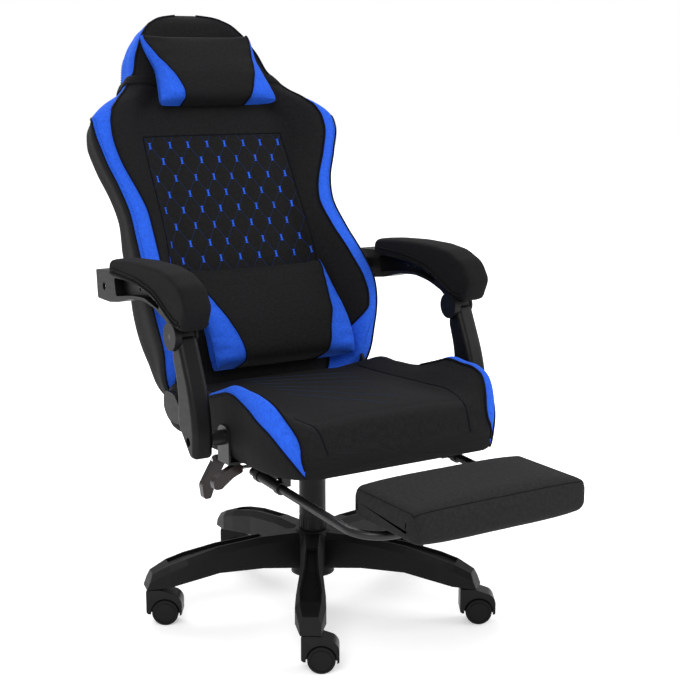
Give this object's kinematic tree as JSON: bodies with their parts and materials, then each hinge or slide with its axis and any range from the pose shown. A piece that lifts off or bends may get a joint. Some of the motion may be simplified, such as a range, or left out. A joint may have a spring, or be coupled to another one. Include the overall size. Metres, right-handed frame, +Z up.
{
  "type": "gaming chair",
  "caption": "Gaming chair with hourglass reclining backrest, linked armrests, neck and lumbar pillows, pull-out footrest and caster base.",
  "frame": {"origin": "on the floor under the column's axis", "axes": "+Z up along the column; the sitter faces -Y; the sitter's right is -X"},
  "size_m": [0.6973, 1.1933, 1.1905],
  "materials": {
    "base_nylon": "satin",
    "black_steel": "satin",
    "black_plastic": "satin",
    "bush_plastic": "matte",
    "zinc_steel": "brushed",
    "lever_plastic": "gloss",
    "black_fabric": "matte",
    "heather_fabric": "matte",
    "caster_plastic": "satin"
  },
  "bodies": {
    "base": {"star_base": "base_nylon", "gas_outer_tube": "black_steel", "guide_bush": "bush_plastic", "column_collar": "black_plastic", "caster_stems": "zinc_steel"},
    "spindle": {"piston_rod": "zinc_steel", "thrust_bearing": "zinc_steel"},
    "seat": {"gas_cylinder": "black_steel", "column_sleeve": "black_plastic", "mechanism_plate": "black_steel", "mechanism_bolts": "zinc_steel", "seat_frame": "black_steel", "seat_cushion": "black_fabric", "rail_guides": "black_steel", "side_brackets": "black_steel", "side_covers": "black_plastic", "post_bolts": "zinc_steel"},
    "height_lever": {"height_lever": "zinc_steel", "height_grip": "lever_plastic"},
    "recline_lever": {"recline_lever": "zinc_steel", "recline_grip": "lever_plastic"},
    "backrest": {"back_frame": "black_steel", "back_cushion": "black_fabric", "recline_pins": "zinc_steel", "right_back_bracket": "black_steel", "left_back_bracket": "black_steel", "head_strap": "black_fabric"},
    "head_pillow": {"head_pillow": "black_fabric"},
    "lumbar_cushion": {"lumbar_cushion": "black_fabric"},
    "right_post": {"right_post": "black_plastic"},
    "right_arm": {"right_arm_frame": "black_plastic", "right_arm_pad": "black_fabric", "right_knuckle_pin": "zinc_steel"},
    "left_post": {"left_post": "black_plastic"},
    "left_arm": {"left_arm_frame": "black_plastic", "left_arm_pad": "black_fabric", "left_knuckle_pin": "zinc_steel"},
    "footrest_rails": {"footrest_rails": "black_steel"},
    "footrest": {"footrest_bracket": "black_steel", "footrest_pad": "heather_fabric"},
    "caster1": {"caster1_hood": "caster_plastic", "caster1_axle": "zinc_steel"},
    "caster1_wheel_a": {"caster1_wheel_a": "caster_plastic"},
    "caster1_wheel_b": {"caster1_wheel_b": "caster_plastic"},
    "caster2": {"caster2_hood": "caster_plastic", "caster2_axle": "zinc_steel"},
    "caster2_wheel_a": {"caster2_wheel_a": "caster_plastic"},
    "caster2_wheel_b": {"caster2_wheel_b": "caster_plastic"},
    "caster3": {"caster3_hood": "caster_plastic", "caster3_axle": "zinc_steel"},
    "caster3_wheel_a": {"caster3_wheel_a": "caster_plastic"},
    "caster3_wheel_b": {"caster3_wheel_b": "caster_plastic"},
    "caster4": {"caster4_hood": "caster_plastic", "caster4_axle": "zinc_steel"},
    "caster4_wheel_a": {"caster4_wheel_a": "caster_plastic"},
    "caster4_wheel_b": {"caster4_wheel_b": "caster_plastic"},
    "caster5": {"caster5_hood": "caster_plastic", "caster5_axle": "zinc_steel"},
    "caster5_wheel_a": {"caster5_wheel_a": "caster_plastic"},
    "caster5_wheel_b": {"caster5_wheel_b": "caster_plastic"}
  },
  "joints": [
    {"name": "seat_swivel", "type": "hinge", "parent": "base", "child": "spindle", "pos_m": [0, 0, 0.25], "axis": [0, 0, 1], "continuous": true},
    {"name": "seat_lift", "type": "slide", "parent": "spindle", "child": "seat", "axis": [0, 0, 1], "range_m": [0, 0.08]},
    {"name": "height_lever", "type": "hinge", "parent": "seat", "child": "height_lever", "pos_m": [-0.15, -0.127, 0.355], "axis": [1, 0, 0], "range_deg": [0, 20], "stiffness_Nm_per_rad": 0.6, "springref_deg": -20.05},
    {"name": "recline_lever", "type": "hinge", "parent": "seat", "child": "recline_lever", "pos_m": [-0.15, -0.055, 0.355], "axis": [1, 0, 0], "range_deg": [0, 20], "stiffness_Nm_per_rad": 0.6, "springref_deg": -20.05},
    {"name": "recline", "type": "hinge", "parent": "seat", "child": "backrest", "pos_m": [0, 0.196, 0.466], "axis": [-1, 0, 0], "range_deg": [-20, 40]},
    {"name": "head_pillow_slide", "type": "slide", "parent": "backrest", "child": "head_pillow", "axis": [0, 0.4179, 0.9085], "range_m": [-0.025, 0.04]},
    {"name": "lumbar_slide", "type": "slide", "parent": "backrest", "child": "lumbar_cushion", "axis": [0, 0.4179, 0.9085], "range_m": [0, 0.05]},
    {"name": "footrest_slide", "type": "slide", "parent": "seat", "child": "footrest_rails", "axis": [0, 0.9988, 0.0489], "range_m": [0, 0.2]},
    {"name": "footrest_flip", "type": "hinge", "parent": "footrest_rails", "child": "footrest", "pos_m": [0, -0.502, 0.32075], "axis": [1, 0, 0], "range_deg": [0, 180]},
    {"name": "right_post", "type": "hinge", "parent": "seat", "child": "right_post", "pos_m": [-0.311, -0.122, 0.417], "axis": [-1, 0, 0], "range_deg": [-20, 40]},
    {"name": "right_arm", "type": "hinge", "parent": "right_post", "child": "right_arm", "pos_m": [-0.311, -0.068, 0.603], "axis": [-1, 0, 0], "range_deg": [-40, 20]},
    {"name": "left_post", "type": "hinge", "parent": "seat", "child": "left_post", "pos_m": [0.311, -0.122, 0.417], "axis": [-1, 0, 0], "range_deg": [-20, 40]},
    {"name": "left_arm", "type": "hinge", "parent": "left_post", "child": "left_arm", "pos_m": [0.311, -0.068, 0.603], "axis": [-1, 0, 0], "range_deg": [-40, 20]},
    {"name": "caster1_swivel", "type": "hinge", "parent": "base", "child": "caster1", "pos_m": [-0.16933, -0.2774, 0.06], "axis": [0, 0, 1], "continuous": true},
    {"name": "caster1_wheel_a_roll", "type": "hinge", "parent": "caster1", "child": "caster1_wheel_a", "pos_m": [-0.15233, -0.28794, 0.026], "axis": [-0.527, -0.8499, 0], "continuous": true},
    {"name": "caster1_wheel_b_roll", "type": "hinge", "parent": "caster1", "child": "caster1_wheel_b", "pos_m": [-0.15233, -0.28794, 0.026], "axis": [-0.527, -0.8499, 0], "continuous": true},
    {"name": "caster2_swivel", "type": "hinge", "parent": "base", "child": "caster2", "pos_m": [0.2115, -0.24676, 0.06], "axis": [0, 0, 1], "continuous": true},
    {"name": "caster2_wheel_a_roll", "type": "hinge", "parent": "caster2", "child": "caster2_wheel_a", "pos_m": [0.2285, -0.2573, 0.026], "axis": [-0.527, -0.8499, 0], "continuous": true},
    {"name": "caster2_wheel_b_roll", "type": "hinge", "parent": "caster2", "child": "caster2_wheel_b", "pos_m": [0.2285, -0.2573, 0.026], "axis": [-0.527, -0.8499, 0], "continuous": true},
    {"name": "caster3_swivel", "type": "hinge", "parent": "base", "child": "caster3", "pos_m": [0.30004, 0.1249, 0.06], "axis": [0, 0, 1], "continuous": true},
    {"name": "caster3_wheel_a_roll", "type": "hinge", "parent": "caster3", "child": "caster3_wheel_a", "pos_m": [0.31704, 0.11436, 0.026], "axis": [-0.527, -0.8499, 0], "continuous": true},
    {"name": "caster3_wheel_b_roll", "type": "hinge", "parent": "caster3", "child": "caster3_wheel_b", "pos_m": [0.31704, 0.11436, 0.026], "axis": [-0.527, -0.8499, 0], "continuous": true},
    {"name": "caster4_swivel", "type": "hinge", "parent": "base", "child": "caster4", "pos_m": [-0.02607, 0.32395, 0.06], "axis": [0, 0, 1], "continuous": true},
    {"name": "caster4_wheel_a_roll", "type": "hinge", "parent": "caster4", "child": "caster4_wheel_a", "pos_m": [-0.00907, 0.31341, 0.026], "axis": [-0.527, -0.8499, 0], "continuous": true},
    {"name": "caster4_wheel_b_roll", "type": "hinge", "parent": "caster4", "child": "caster4_wheel_b", "pos_m": [-0.00907, 0.31341, 0.026], "axis": [-0.527, -0.8499, 0], "continuous": true},
    {"name": "caster5_swivel", "type": "hinge", "parent": "base", "child": "caster5", "pos_m": [-0.31615, 0.07532, 0.06], "axis": [0, 0, 1], "continuous": true},
    {"name": "caster5_wheel_a_roll", "type": "hinge", "parent": "caster5", "child": "caster5_wheel_a", "pos_m": [-0.29915, 0.06478, 0.026], "axis": [-0.527, -0.8499, 0], "continuous": true},
    {"name": "caster5_wheel_b_roll", "type": "hinge", "parent": "caster5", "child": "caster5_wheel_b", "pos_m": [-0.29915, 0.06478, 0.026], "axis": [-0.527, -0.8499, 0], "continuous": true}
  ],
  "couplings": [
    {"joint": "right_post", "follows": "recline", "ratio": 1},
    {"joint": "right_arm", "follows": "recline", "ratio": -1},
    {"joint": "left_post", "follows": "recline", "ratio": 1},
    {"joint": "left_arm", "follows": "recline", "ratio": -1},
    {"joint": "footrest_flip", "follows": "footrest_slide", "rad_per_m": 15.708}
  ]
}
